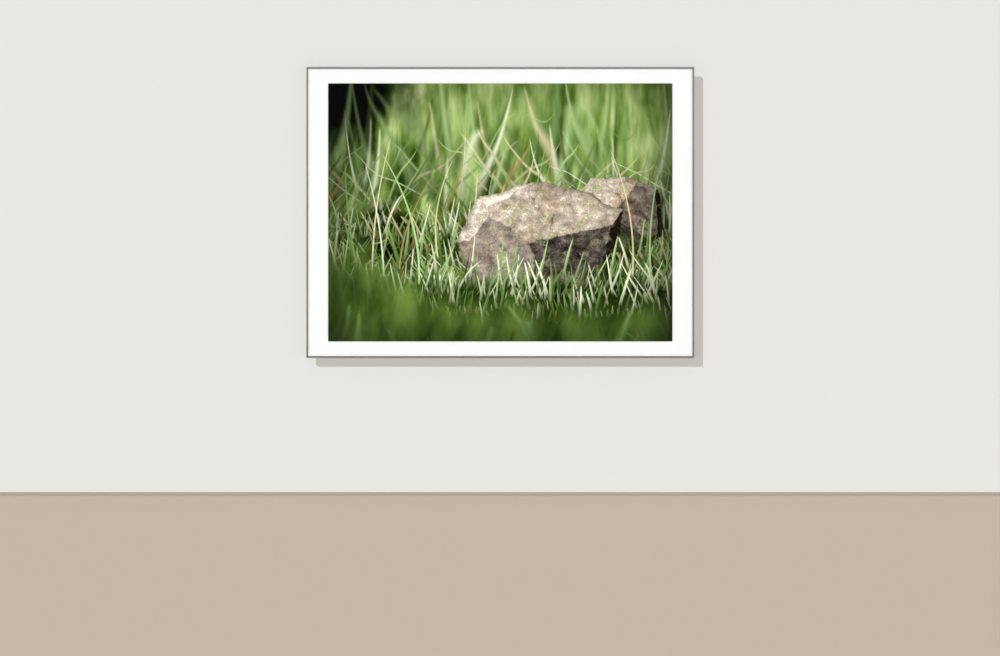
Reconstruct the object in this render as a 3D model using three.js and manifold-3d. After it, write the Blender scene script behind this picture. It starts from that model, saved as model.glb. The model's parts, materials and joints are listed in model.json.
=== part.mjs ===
// A framed print for a wall: a slim aluminium section frame with mitred corners, clear glazing,
// a white mat with a bevelled window, the print, its boards, and the fittings on the back.
// Millimetres, +X right, +Z up, +Y towards the wall. The front faces -Y and the origin is the middle of it.
import * as THREE from "three";
import { mergeVertices } from "three/addons/utils/BufferGeometryUtils.js";
import Module from "manifold-3d";

const wasm = await Module();
wasm.setup();

// Driving sizes. A depth is counted from the frame's front face towards the wall.
const frameWidth = 1000;
const frameHeight = 750;
const faceWidth = 4.8; // of the frame, seen from the front
const railDepth = 22; // to the back of the rails
const windowWidth = 887.4; // of the print that shows in the mat
const windowHeight = 665;
const gap = 0.2; // between pieces that lie on each other, and at each mitre
const bumperHeight = 1.9; // the bumpers keep the rails this far off the wall

// The aluminium section
const sideWall = 1.5;
const lipThickness = 1.6; // the strip that holds the glazing from the front
const webThickness = 1.2; // the thinner walls
const webDepth = 14; // depth of the web that closes the glazing groove
const webInset = 12; // how far the section reaches in from the frame's outer side
const slotLip = 1.45; // each lip of the channel on the back

// Thicknesses of what lies in the glazing groove, from the front to the back
const glazingThickness = 2;
const matThickness = 1.6;
const printThickness = 0.5;
const mountThickness = 1.5;
const backingThickness = 3;
const edgeClearance = 1; // from the boards' edges to the side wall
const boardCorner = 0.8; // cut off each corner of the boards

// Spring clips, bumpers and hangers along the sides, from the middle of each side
const clipPlaces = { top: [-330, 0, 330], bottom: [-330, 0, 330], left: [-190, 190], right: [-190, 190] };
const bumperPlace = 410;
const hangerPlace = 260;

// Depths that follow from the sizes
const glazingFront = lipThickness + gap;
const matFront = glazingFront + glazingThickness + gap;
const printFront = matFront + matThickness + gap;
const mountFront = printFront + printThickness + gap;
const backingFront = mountFront + mountThickness + gap;
const clipFront = backingFront + backingThickness + gap;
const channelFloor = webDepth + webThickness;
const lipFront = railDepth - webThickness;
const bumperFront = railDepth + gap / 2;
const frontPlane = -(bumperFront + bumperHeight) / 2; // Y of the front face, with the origin in the middle
const channelInner = webInset - webThickness; // far side of the channel, from the frame's outer side
const boardWidth = frameWidth - 2 * (sideWall + edgeClearance);
const boardHeight = frameHeight - 2 * (sideWall + edgeClearance);

const finish = (color, roughness, metalness) =>
  new THREE.MeshStandardMaterial({ color, roughness, metalness });
const anodised = finish(0x87847d, 0.42, 0.9);
const clearGlass = finish(0xf2f7f5, 0.05, 0);
clearGlass.transparent = true;
clearGlass.opacity = 0.15;
const whiteMat = finish(0xfcfcfa, 0.9, 0);
const photoPaper = finish(0x54693a, 0.55, 0);
const greyBoard = finish(0xd8d4ca, 0.9, 0);
const hardboard = finish(0x8a6a4a, 0.75, 0);
const springSteel = finish(0x8f9194, 0.35, 1);
const zincSteel = finish(0xb4b6b8, 0.4, 1);
const softRubber = finish(0x4a4946, 0.8, 0);

const group = new THREE.Group();

function addPiece(parent, name, geometry, material) {
  const mesh = new THREE.Mesh(geometry, material);
  mesh.name = name;
  parent.add(mesh);
  return mesh;
}

// A flat outline drawn out along its own Z
const drawnOut = (shape, length, curveSegments = 3) =>
  new THREE.ExtrudeGeometry(shape, { depth: length, bevelEnabled: false, curveSegments, steps: 1 });

// A closed geometry as a solid that can be cut and joined
function solidOf(geometry) {
  const bare = geometry.index ? geometry.toNonIndexed() : geometry.clone();
  bare.deleteAttribute("normal");
  bare.deleteAttribute("uv");
  const merged = mergeVertices(bare, 1e-4);
  const vertProperties = merged.attributes.position.array;
  const triVerts = new Uint32Array(merged.index.array);
  return new wasm.Manifold(new wasm.Mesh({ numProp: 3, vertProperties, triVerts }));
}

function geometryOf(solid) {
  const mesh = solid.getMesh();
  const geometry = new THREE.BufferGeometry();
  geometry.setAttribute("position", new THREE.BufferAttribute(new Float32Array(mesh.vertProperties), 3));
  geometry.setIndex(new THREE.BufferAttribute(new Uint32Array(mesh.triVerts), 1));
  return geometry;
}

function blockBetween(x0, x1, y0, y1, z0, z1) {
  const block = new THREE.BoxGeometry(x1 - x0, y1 - y0, z1 - z0);
  block.translate((x0 + x1) / 2, (y0 + y1) / 2, (z0 + z1) / 2);
  return solidOf(block);
}

// Rails. In the section, x is the way in from the frame's outer side and y is the depth.
function railSection() {
  const outerRadius = 0.6;
  const smallRadius = 0.35;
  const slotStart = sideWall + slotLip;
  const slotEnd = channelInner - slotLip;
  const s = new THREE.Shape();
  s.moveTo(0, outerRadius);
  s.absarc(outerRadius, outerRadius, outerRadius, Math.PI, 1.5 * Math.PI, false);
  s.absarc(faceWidth - smallRadius, smallRadius, smallRadius, 1.5 * Math.PI, 2 * Math.PI, false);
  s.lineTo(faceWidth, lipThickness);
  s.lineTo(sideWall, lipThickness);
  s.lineTo(sideWall, webDepth);
  s.lineTo(webInset, webDepth);
  s.lineTo(webInset, railDepth);
  s.lineTo(slotEnd, railDepth);
  s.lineTo(slotEnd, lipFront);
  s.lineTo(channelInner, lipFront);
  s.lineTo(channelInner, channelFloor);
  s.lineTo(sideWall, channelFloor);
  s.lineTo(sideWall, lipFront);
  s.lineTo(slotStart, lipFront);
  s.lineTo(slotStart, railDepth);
  s.lineTo(smallRadius, railDepth);
  s.absarc(smallRadius, railDepth - smallRadius, smallRadius, 0.5 * Math.PI, Math.PI, false);
  s.closePath();
  return s;
}

// A rail lies along X with its outer side up. Each end is shorter by the way in, which makes the mitre.
function railGeometry(length) {
  const geometry = drawnOut(railSection(), length);
  const p = geometry.attributes.position;
  for (let i = 0; i < p.count; i++) {
    const inward = p.getX(i);
    const depth = p.getY(i);
    const end = p.getZ(i) < length / 2 ? -1 : 1;
    p.setXYZ(i, end * (length / 2 - inward - gap / 2), depth, -inward);
  }
  return geometry;
}

// Each side of the frame is a group turned about Y, so that its own top is the frame's outer side.
const sides = [
  { name: "top", length: frameWidth, reach: frameHeight / 2, turn: 0 },
  { name: "right", length: frameHeight, reach: frameWidth / 2, turn: Math.PI / 2 },
  { name: "bottom", length: frameWidth, reach: frameHeight / 2, turn: Math.PI },
  { name: "left", length: frameHeight, reach: frameWidth / 2, turn: -Math.PI / 2 },
];
const sideGroups = {};
for (const { name, length, reach, turn } of sides) {
  const side = new THREE.Group();
  side.rotation.y = turn;
  side.position.set(Math.sin(turn) * reach, frontPlane, Math.cos(turn) * reach);
  group.add(side);
  sideGroups[name] = side;
  addPiece(side, `rail_${name}`, railGeometry(length), anodised);
}

// The boards' outline in X and Z, centred
function boardShape() {
  const w = boardWidth / 2;
  const h = boardHeight / 2;
  const s = new THREE.Shape();
  s.moveTo(-w + boardCorner, -h);
  s.lineTo(w - boardCorner, -h);
  s.lineTo(w, -h + boardCorner);
  s.lineTo(w, h - boardCorner);
  s.lineTo(w - boardCorner, h);
  s.lineTo(-w + boardCorner, h);
  s.lineTo(-w, h - boardCorner);
  s.lineTo(-w, -h + boardCorner);
  s.closePath();
  return s;
}

// The mat's window is cut at 45 degrees, so it is wider at the front by the mat's thickness on each side.
function matGeometry() {
  const w = windowWidth / 2;
  const h = windowHeight / 2;
  const shape = boardShape();
  const opening = new THREE.Path();
  opening.moveTo(-w, -h);
  opening.lineTo(w, -h);
  opening.lineTo(w, h);
  opening.lineTo(-w, h);
  opening.closePath();
  shape.holes.push(opening);
  const geometry = drawnOut(shape, matThickness);
  const p = geometry.attributes.position;
  for (let i = 0; i < p.count; i++) {
    const x = p.getX(i);
    const z = p.getY(i);
    const onOpening = Math.abs(x) < w + 1 && Math.abs(z) < h + 1;
    const atFront = p.getZ(i) > matThickness / 2;
    if (onOpening && atFront) {
      p.setXY(i, x + Math.sign(x) * matThickness, z + Math.sign(z) * matThickness);
    }
  }
  return geometry;
}

function addBoard(name, geometry, front, thickness, material) {
  const board = addPiece(group, name, geometry, material);
  board.rotation.x = Math.PI / 2;
  board.position.y = frontPlane + front + thickness;
}

const boardGeometry = (thickness) => drawnOut(boardShape(), thickness);
addBoard("glazing", boardGeometry(glazingThickness), glazingFront, glazingThickness, clearGlass);
addBoard("mat_board", matGeometry(), matFront, matThickness, whiteMat);
addBoard("print_sheet", boardGeometry(printThickness), printFront, printThickness, photoPaper);
addBoard("mount_board", boardGeometry(mountThickness), mountFront, mountThickness, greyBoard);
addBoard("backing_board", boardGeometry(backingThickness), backingFront, backingThickness, hardboard);

// Bowed spring clips between the backing and the web press the boards forward against the lip.
const clipLength = 78;
const clipWidth = 14;
const clipStrip = 0.6; // thickness of the steel
const clipInset = 2.6; // from the frame's outer side

function clipGeometry() {
  const rise = webDepth - gap - clipFront - clipStrip;
  const half = clipLength / 2;
  const radius = (half * half + rise * rise) / (2 * rise);
  const centre = clipFront + rise - radius;
  const first = Math.PI / 2 - Math.asin(half / radius);
  const last = Math.PI - first;
  const s = new THREE.Shape();
  s.absarc(0, centre, radius + clipStrip, first, last, false);
  s.absarc(0, centre, radius, last, first, true);
  s.closePath();
  const bowSteps = 12;
  return drawnOut(s, clipWidth, bowSteps);
}

for (const [sideName, places] of Object.entries(clipPlaces)) {
  places.forEach((place, n) => {
    const clip = addPiece(sideGroups[sideName], `clip_${sideName}_${n + 1}`, clipGeometry(), springSteel);
    clip.position.set(place, 0, -clipInset - clipWidth);
  });
}

// Screws have their head to the wall, with a slot across it, and stand along Y with the head's seat at 0.
const screwRadius = 2;
const screwHoleRadius = 2.3;
const headRadius = 2.65;
const headHeight = 1.2;
const roundSteps = 20; // straight steps in a screw's circle

function screwGeometry(shankLength) {
  const sunk = 0.2; // the shank's end inside the head
  const shank = new THREE.CylinderGeometry(screwRadius, screwRadius, shankLength + sunk, roundSteps);
  shank.translate(0, (sunk - shankLength) / 2, 0);
  const head = new THREE.CylinderGeometry(headRadius - 0.3, headRadius, headHeight, roundSteps);
  head.translate(0, headHeight / 2, 0);
  const slot = blockBetween(-headRadius - 1, headRadius + 1, 0.7 * headHeight, headHeight + 1, -0.4, 0.4);
  return geometryOf(solidOf(head).add(solidOf(shank)).subtract(slot));
}

// Corner plates in the channel hold each mitre. A screw in each leg spreads the rear and front plates.
const playInChannel = 0.6; // beside what lies in the channel
const plateInset = sideWall + playInChannel; // from the frame's outer side
const plateWidth = channelInner - playInChannel - plateInset;
const plateLeg = 44;
const rearThickness = 1.8;
const frontThickness = 1;
const rearFront = lipFront - 0.3 - rearThickness;
const frontFront = channelFloor + 0.3;
const cornerScrewPlace = 27; // from the plates' outer corner, along each leg
const cornerScrews = [
  [-cornerScrewPlace, -plateWidth / 2],
  [-plateWidth / 2, -cornerScrewPlace],
];

// An L in X and Z with its outer corner at the origin and its legs along -X and -Z
function cornerShape() {
  const s = new THREE.Shape();
  s.moveTo(0, 0);
  s.lineTo(-plateLeg, 0);
  s.lineTo(-plateLeg, -plateWidth);
  s.lineTo(-plateWidth, -plateWidth);
  s.lineTo(-plateWidth, -plateLeg);
  s.lineTo(0, -plateLeg);
  s.closePath();
  return s;
}

function drilledCornerShape() {
  const s = cornerShape();
  for (const [x, z] of cornerScrews) {
    const hole = new THREE.Path();
    hole.absarc(x, z, screwHoleRadius, 0, 2 * Math.PI, true);
    s.holes.push(hole);
  }
  return s;
}

function addPlate(corner, name, shape, front, thickness) {
  const plate = addPiece(corner, name, drawnOut(shape, thickness, roundSteps), zincSteel);
  plate.rotation.x = Math.PI / 2;
  plate.position.y = front + thickness;
}

const corners = [
  { name: "top_right", turn: 0, right: 1, up: 1 },
  { name: "bottom_right", turn: Math.PI / 2, right: 1, up: -1 },
  { name: "bottom_left", turn: Math.PI, right: -1, up: -1 },
  { name: "top_left", turn: -Math.PI / 2, right: -1, up: 1 },
];
const cornerShank = lipFront - (frontFront + frontThickness + 0.3);
for (const { name, turn, right, up } of corners) {
  const corner = new THREE.Group();
  corner.rotation.y = turn;
  const x = right * (frameWidth / 2 - plateInset);
  const z = up * (frameHeight / 2 - plateInset);
  corner.position.set(x, frontPlane, z);
  group.add(corner);
  addPlate(corner, `plate_rear_${name}`, drilledCornerShape(), rearFront, rearThickness);
  addPlate(corner, `plate_front_${name}`, cornerShape(), frontFront, frontThickness);
  cornerScrews.forEach(([screwX, screwZ], n) => {
    const screw = addPiece(corner, `screw_${name}_${n + 1}`, screwGeometry(cornerShank), zincSteel);
    screw.position.set(screwX, lipFront, screwZ);
  });
}

// Hangers: a foot in the top channel, a neck out through its slot, and a tab with an eye for a wall hook.
// The places across are from the frame's outer side.
const footLength = 46;
const neckStart = 3.4;
const neckEnd = 8.6;
const tabWidth = 22;
const tabFront = railDepth + gap;
const tabThickness = 1.4;
const tabEnd = 28;
const tabCorner = 6;
const eyeTop = 15.5; // the flat edge that rests on the hook
const eyeBottom = 22.5;
const eyeWidth = 10;
const eyeCorner = 2.5;
const hangerScrewPlace = 16.5; // from the hanger's middle

function eyePath() {
  const half = eyeWidth / 2;
  const path = new THREE.Path();
  path.moveTo(-half, -eyeTop);
  path.lineTo(half, -eyeTop);
  path.absarc(half - eyeCorner, eyeCorner - eyeBottom, eyeCorner, 0, -0.5 * Math.PI, true);
  path.absarc(eyeCorner - half, eyeCorner - eyeBottom, eyeCorner, -0.5 * Math.PI, -Math.PI, true);
  path.closePath();
  return path;
}

function tabGeometry() {
  const half = tabWidth / 2;
  const s = new THREE.Shape();
  s.moveTo(half, -neckStart);
  s.lineTo(-half, -neckStart);
  s.absarc(tabCorner - half, tabCorner - tabEnd, tabCorner, Math.PI, 1.5 * Math.PI, false);
  s.absarc(half - tabCorner, tabCorner - tabEnd, tabCorner, 1.5 * Math.PI, 2 * Math.PI, false);
  s.closePath();
  s.holes.push(eyePath());
  const cornerSteps = 6;
  const geometry = drawnOut(s, tabThickness, cornerSteps);
  geometry.rotateX(Math.PI / 2);
  geometry.translate(0, tabFront + tabThickness, 0);
  return geometry;
}

function hangerGeometry() {
  const footHalf = footLength / 2;
  const neckHalf = tabWidth / 2;
  const footRear = rearFront + rearThickness;
  const tabRear = tabFront + tabThickness;
  const footEnd = plateInset + plateWidth;
  const foot = blockBetween(-footHalf, footHalf, rearFront, footRear, -footEnd, -plateInset);
  const neck = blockBetween(-neckHalf, neckHalf, rearFront + 0.5, tabRear, -neckEnd, -neckStart);
  const screwHole = new THREE.CylinderGeometry(screwHoleRadius, screwHoleRadius, railDepth, roundSteps);
  screwHole.translate(hangerScrewPlace, rearFront, -(plateInset + footEnd) / 2);
  return geometryOf(foot.add(neck).add(solidOf(tabGeometry())).subtract(solidOf(screwHole)));
}

const hangerShank = lipFront - frontFront;
for (const [name, right] of [["left", -1], ["right", 1]]) {
  const hanger = addPiece(sideGroups.top, `hanger_${name}`, hangerGeometry(), zincSteel);
  hanger.position.x = right * hangerPlace;
  const screw = addPiece(sideGroups.top, `hanger_screw_${name}`, screwGeometry(hangerShank), zincSteel);
  screw.position.set(right * hangerPlace + hangerScrewPlace, lipFront, -plateInset - plateWidth / 2);
}

// Soft bumpers on the back of the top and bottom rails keep the frame off the wall.
const bumperRadius = 5.2;
const bumperFlat = 4.1; // radius of the flat that meets the wall
const bumperInset = 6; // from the frame's outer side to the bumper's middle

function bumperGeometry() {
  const profile = [
    new THREE.Vector2(0, 0),
    new THREE.Vector2(bumperRadius, 0),
    new THREE.Vector2(bumperRadius, 0.4 * bumperHeight),
    new THREE.Vector2(bumperFlat, bumperHeight),
    new THREE.Vector2(0, bumperHeight),
  ];
  const bumperSteps = 32;
  return new THREE.LatheGeometry(profile, bumperSteps);
}

for (const [name, right] of [["left", -1], ["right", 1]]) {
  for (const up of [-1, 1]) {
    const level = up > 0 ? "top" : "bottom";
    const bumper = addPiece(group, `bumper_${level}_${name}`, bumperGeometry(), softRubber);
    const z = up * (frameHeight / 2 - bumperInset);
    bumper.position.set(right * bumperPlace, frontPlane + bumperFront, z);
  }
}

export default group;
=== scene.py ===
import json
import math
import random
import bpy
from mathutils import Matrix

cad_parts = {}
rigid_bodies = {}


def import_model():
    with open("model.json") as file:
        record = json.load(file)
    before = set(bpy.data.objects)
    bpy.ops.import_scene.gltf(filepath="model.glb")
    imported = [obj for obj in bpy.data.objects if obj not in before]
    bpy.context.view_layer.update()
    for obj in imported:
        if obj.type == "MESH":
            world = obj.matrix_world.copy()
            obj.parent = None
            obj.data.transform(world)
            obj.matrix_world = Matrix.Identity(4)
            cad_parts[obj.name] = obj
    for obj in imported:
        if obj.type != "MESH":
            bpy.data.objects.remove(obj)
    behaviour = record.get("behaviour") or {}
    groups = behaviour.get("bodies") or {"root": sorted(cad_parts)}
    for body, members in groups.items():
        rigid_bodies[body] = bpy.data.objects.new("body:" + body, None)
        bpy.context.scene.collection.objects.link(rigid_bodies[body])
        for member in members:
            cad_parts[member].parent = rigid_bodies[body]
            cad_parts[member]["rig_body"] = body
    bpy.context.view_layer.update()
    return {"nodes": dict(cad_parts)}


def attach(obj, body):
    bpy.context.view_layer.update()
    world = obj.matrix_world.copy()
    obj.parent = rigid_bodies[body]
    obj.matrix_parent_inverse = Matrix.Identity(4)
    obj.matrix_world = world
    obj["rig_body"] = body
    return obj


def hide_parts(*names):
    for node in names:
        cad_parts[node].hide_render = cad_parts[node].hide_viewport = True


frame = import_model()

from types import SimpleNamespace

import bmesh
import bpy
from mathutils import Matrix, Vector
from mathutils.geometry import tessellate_polygon

print("frame loaded with", len(frame["nodes"]), "nodes")

# Sizes are in millimetres. A depth runs from the frame's front face towards the wall.
mm = 0.001
overall = {
    "width": 1000,
    "height": 750,
    "frontPlane": -12,  # y of the front face
    "wallPlane": 12,  # y of the wall
}
halfWidth = overall["width"] / 2
halfHeight = overall["height"] / 2


def shift(x, y, z):
    return Matrix.Translation((x * mm, y * mm, z * mm))


def turnedPlace(turn, x, z):
    # a side's or a corner's own place: outer side up, depth along y
    return shift(x, overall["frontPlane"], z) @ Matrix.Rotation(turn, 4, "Y")


sidePlaces = {
    "top": turnedPlace(0, 0, halfHeight),
    "right": turnedPlace(math.pi / 2, halfWidth, 0),
    "bottom": turnedPlace(math.pi, 0, -halfHeight),
    "left": turnedPlace(-math.pi / 2, -halfWidth, 0),
}


# Outlines are lists of points in a plane

def circleOutline(radius, steps, x=0, y=0):
    angles = [2 * math.pi * i / steps for i in range(steps)]
    return [(x + radius * math.cos(a), y + radius * math.sin(a)) for a in angles]


def roundedOutline(corners, radii, steps):
    # a closed outline with each corner rounded by its own radius
    if not isinstance(radii, list):
        radii = [radii] * len(corners)
    outline = []
    for i, corner in enumerate(corners):
        here = Vector(corner)
        coming = (Vector(corners[i - 1]) - here).normalized()
        going = (Vector(corners[(i + 1) % len(corners)]) - here).normalized()
        half = coming.angle(going) / 2
        centre = here + (coming + going).normalized() * radii[i] / math.sin(half)
        start = here + coming * radii[i] / math.tan(half) - centre
        end = here + going * radii[i] / math.tan(half) - centre
        sweep = -start.angle_signed(end)  # angle_signed counts clockwise
        for k in range(steps + 1):
            turn = Matrix.Rotation(sweep * k / steps, 2)
            outline.append(tuple(centre + turn @ start))
    return outline


def rectangle(x0, x1, y0, y1, radii, steps):
    return roundedOutline([(x0, y0), (x1, y0), (x1, y1), (x0, y1)], radii, steps)


def insetOutline(outline, distance):
    # moves every edge of a closed outline inwards; a minus distance moves them out
    count = len(outline)
    turns = zip(outline, outline[1:] + outline[:1])
    area = sum(a[0] * b[1] - b[0] * a[1] for a, b in turns)
    sign = 1 if area > 0 else -1
    moved = []
    for i, point in enumerate(outline):
        here = Vector(point)
        coming = (here - Vector(outline[i - 1])).normalized()
        going = (Vector(outline[(i + 1) % count]) - here).normalized()
        first = Vector((-coming.y, coming.x)) * sign
        middle = first + Vector((-going.y, going.x)) * sign
        middle.normalize()
        there = here + middle * distance / max(0.3, middle.dot(first))  # sharp corners move no further
        moved.append((there.x, there.y))
    return moved


def roundedRim(low, high, radius, steps=3):
    # (depth, inset) down a sheet's edge from its front rim to its back rim
    angles = [math.pi / 2 * i / steps for i in range(steps + 1)]
    front = [(low + radius * (1 - math.cos(a)), radius * (1 - math.sin(a))) for a in angles]
    return front + [(low + high - depth, inset) for depth, inset in reversed(front)]


# A solid is a pair: points in millimetres, and faces of point numbers

def bandFaces(rings):
    # four-sided faces between each ring of point numbers and the next
    faces = []
    for above, below in zip(rings, rings[1:]):
        for i in range(len(above)):
            j = (i + 1) % len(above)
            faces.append((above[i], above[j], below[j], below[i]))
    return faces


def capFaces(points, rings):
    # triangles that close the first ring and leave the others open as holes
    order = [index for ring in rings for index in ring]
    triangles = tessellate_polygon([[Vector(points[index]) for index in ring] for ring in rings])
    return [tuple(order[corner] for corner in triangle) for triangle in triangles]


def drawnSolid(outline, rim, holes=()):
    # an outline in x and z drawn along y; a rim is a list of (depth, inset), and each hole has its own
    points, faces, fronts, backs = [], [], [], []
    for number, (loop, steps) in enumerate([(outline, rim), *holes]):
        direction = 1 if number == 0 else -1
        rings = []
        for depth, inset in steps:
            ring = insetOutline(loop, inset * direction)
            rings.append(range(len(points), len(points) + len(ring)))
            points.extend((x, depth, z) for x, z in ring)
        faces.extend(bandFaces(rings))
        fronts.append(rings[0])
        backs.append(rings[-1])
    return points, faces + capFaces(points, fronts) + capFaces(points, backs)


def sweptSolid(loops):
    # loops of as many points each, joined in turn and closed at both ends
    points = [point for loop in loops for point in loop]
    count = len(loops[0])
    rings = [range(start, start + count) for start in range(0, len(points), count)]
    return points, bandFaces(rings) + capFaces(points, rings[:1]) + capFaces(points, rings[-1:])


def turnedSolid(profile, steps):
    # (radius, depth) turned about y; the first and the last point lie on the axis
    points = [(0, profile[0][1], 0)]
    rings = []
    for radius, depth in profile[1:-1]:
        rings.append(range(len(points), len(points) + steps))
        points.extend((x, depth, z) for x, z in circleOutline(radius, steps))
    faces = bandFaces(rings)
    for ring, tip in ((rings[0], 0), (rings[-1], len(points))):
        faces.extend((tip, ring[i - 1], ring[i]) for i in range(steps))
    return points + [(0, profile[-1][1], 0)], faces


def domedSolid(shape, steps, rows):
    # a button: a foot cut a little round, a side, and a dome with a flat top
    foot, radius, side, top, flat, height = shape
    profile = [(0, 0), (radius - foot, 0), (radius, foot), (top, side)]
    for k in range(1, rows + 1):
        a = math.pi / 2 * k / rows
        profile.append((flat + (top - flat) * math.cos(a), side + (height - side) * math.sin(a)))
    return turnedSolid(profile + [(0, height)], steps)


def meshOf(name, solid, scale):
    mesh = bpy.data.meshes.new(name)
    mesh.from_pydata([Vector(point) * scale for point in solid[0]], [], solid[1])
    work = bmesh.new()
    work.from_mesh(mesh)
    bmesh.ops.remove_doubles(work, verts=work.verts, dist=1e-4 * scale)
    bmesh.ops.recalc_face_normals(work, faces=work.faces)
    work.to_mesh(mesh)
    work.free()
    return mesh


def newObject(name, content):
    made = bpy.data.objects.new(name, content)
    bpy.context.collection.objects.link(made)
    return made


def joinedSolid(first, *others):
    # others are (operation, solid), done in turn with the exact solver
    kept = newObject("joining", meshOf("joining", first, 1))
    tools = []
    for operation, solid in others:
        tools.append(newObject("joinTool", meshOf("joinTool", solid, 1)))
        step = kept.modifiers.new("join", "BOOLEAN")
        step.operation, step.solver, step.object = operation, "EXACT", tools[-1]
    bpy.context.view_layer.update()
    result = bpy.data.meshes.new_from_object(kept.evaluated_get(bpy.context.evaluated_depsgraph_get()))
    points = [tuple(vertex.co) for vertex in result.vertices]
    faces = [tuple(face.vertices) for face in result.polygons]
    for item in [kept, *tools]:
        bpy.data.objects.remove(item)
    bpy.data.meshes.remove(result)
    return points, faces


def addPiece(name, solid, material, node, place=None):
    mesh = meshOf(name, solid, mm)
    mesh.materials.append(material)
    piece = newObject(name, mesh)
    piece.matrix_world = place or shift(0, overall["frontPlane"], 0)
    mesh.shade_smooth()
    mesh.set_sharp_from_angle(angle=math.radians(38))
    normals = piece.modifiers.new("normals", "WEIGHTED_NORMAL")
    normals.keep_sharp = True
    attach(piece, "root")
    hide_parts(node)
    return piece


# Node tools. A colour is written as the screen shows it, with red, green and blue from 0 to 255.

def linear(red, green, blue):
    parts = [part / 255 for part in (red, green, blue)]
    return tuple(p / 12.92 if p <= 0.04045 else ((p + 0.055) / 1.055) ** 2.4 for p in parts) + (1,)


def mathMethod(operation, swapped=False):
    # a method of Signal that adds one Math node
    def method(self, *others):
        values = (*others, self) if swapped else (self, *others)
        return self.bench.take("Math", 0, dict(enumerate(values)), operation=operation)
    return method


class Signal:
    # a node's output to reckon with
    def __init__(self, bench, socket):
        self.bench, self.socket = bench, socket

    __add__, __sub__, __mul__ = mathMethod("ADD"), mathMethod("SUBTRACT"), mathMethod("MULTIPLY")
    __rsub__ = mathMethod("SUBTRACT", swapped=True)
    __truediv__, __pow__ = mathMethod("DIVIDE"), mathMethod("POWER")
    __abs__, __lt__ = mathMethod("ABSOLUTE"), mathMethod("LESS_THAN")
    floor, fract, root = mathMethod("FLOOR"), mathMethod("FRACT"), mathMethod("SQRT")
    atLeast, atMost = mathMethod("MAXIMUM"), mathMethod("MINIMUM")
    scaled = mathMethod("MULTIPLY_ADD")  # scaled(amount, base) is base plus amount times this

    def sway(self, amount, base):
        # base plus amount times how far this lies from a half
        return (self - 0.5).scaled(amount, base)

    def fade(self, low, high, start=0.0, end=1.0, kind="SMOOTHSTEP"):
        # goes from start to end while this goes from low to high
        sockets = {"Value": self, "From Min": low, "From Max": high, "To Min": start, "To Max": end}
        return self.bench.take("MapRange", "Result", sockets, interpolation_type=kind)


class NodeBench:
    # short ways to add nodes to one tree
    def __init__(self, tree):
        self.tree = tree

    def feed(self, socket, value):
        if isinstance(value, Signal):
            self.tree.links.new(value.socket, socket)
        elif socket.type == "RGBA" and len(value) == 3:
            socket.default_value = linear(*value)
        else:
            socket.default_value = value

    def node(self, kind, sockets=None, **settings):
        made = self.tree.nodes.new("ShaderNode" + kind)
        for key, value in settings.items():
            setattr(made, key, value)
        for key, value in (sockets or {}).items():
            self.feed(made.inputs[key], value)
        return made

    def take(self, kind, output=0, sockets=None, **settings):
        # one output of a new node
        return Signal(self, self.node(kind, sockets, **settings).outputs[output])

    def split(self, value, kind="XYZ"):
        return [Signal(self, output) for output in self.node("Separate" + kind, {0: value}).outputs]

    def blend(self, amount, a, b, kind="MIX"):
        return self.take("Mix", 2, {0: amount, 6: a, 7: b}, data_type="RGBA", blend_type=kind)

    def shaded(self, colour, light):
        grey = self.take("CombineColor", 0, {0: light, 1: light, 2: light})
        return self.blend(1.0, colour, grey, "MULTIPLY")

    def noise(self, seed, scale, detail, rough, output="Fac", turn=0.0):
        # scale is per metre along each axis of the piece, and turn is about y
        if not isinstance(scale, tuple):
            scale = (scale, scale, scale)
        where = self.take("Mapping", 0, {
            "Vector": self.take("TexCoord", "Object"),
            "Location": (seed * 3.1, seed, seed * 1.7),
            "Rotation": (0.0, turn, 0.0),
            "Scale": scale,
        })
        sockets = {"Vector": where, "Scale": 1.0, "Detail": detail, "Roughness": rough}
        return self.take("TexNoise", output, sockets)

    def stops(self, value, colours):
        # a colour ramp through (position, colour)
        made = self.node("ValToRGB", {0: value})
        ends = made.color_ramp.elements
        ends[0].position, ends[0].color = colours[0][0], linear(*colours[0][1])
        ends[1].position, ends[1].color = colours[-1][0], linear(*colours[-1][1])
        for position, colour in colours[1:-1]:
            ends.new(position).color = linear(*colour)
        return Signal(self, made.outputs["Color"])

    def bump(self, height, distance, strength, under=None):
        sockets = {"Height": height, "Distance": distance * mm, "Strength": strength}
        if under:
            sockets["Normal"] = under
        return self.take("Bump", 0, sockets)


class MaterialBench(NodeBench):
    # the node tree of a new material
    def __init__(self, name):
        self.material = bpy.data.materials.new(name)
        self.material.use_nodes = True
        self.material.node_tree.nodes.clear()
        super().__init__(self.material.node_tree)

    def surface(self, colour, roughness, normal, metallic=0.0, gloss=0.5):
        # metallic and gloss are plain numbers on the shader's own sockets
        return self.take("BsdfPrincipled", 0, {
            "Base Color": colour, "Roughness": roughness, "Normal": normal,
            "Metallic": metallic, "Specular IOR Level": gloss})

    def finished(self, surface):
        self.node("OutputMaterial", {"Surface": surface})
        return self.material

    def painted(self, *looks, **plain):
        return self.finished(self.surface(*looks, **plain))


# The aluminium section: insets from the outer side and depths, as in the frame

section = {
    "face": 4.8,
    "sideWall": 1.5,
    "lip": 1.6,
    "webDepth": 14,
    "web": 1.2,
    "inner": 12,
    "depth": 22,
    "slotLip": 1.45,
    "outerRound": 0.6,
    "faceRound": 0.35,
    "round": 0.25,
    "insideRound": 0.2,
    "gap": 0.2,  # at each mitre
    "mitreEdge": 0.09,
}
aluminiumLook = {
    "colour": (151, 147, 137),
    "worn": (206, 204, 200),
    "roughness": 0.4,
    "wearWidth": 0.9,  # how far the worn edge reaches
}


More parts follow.
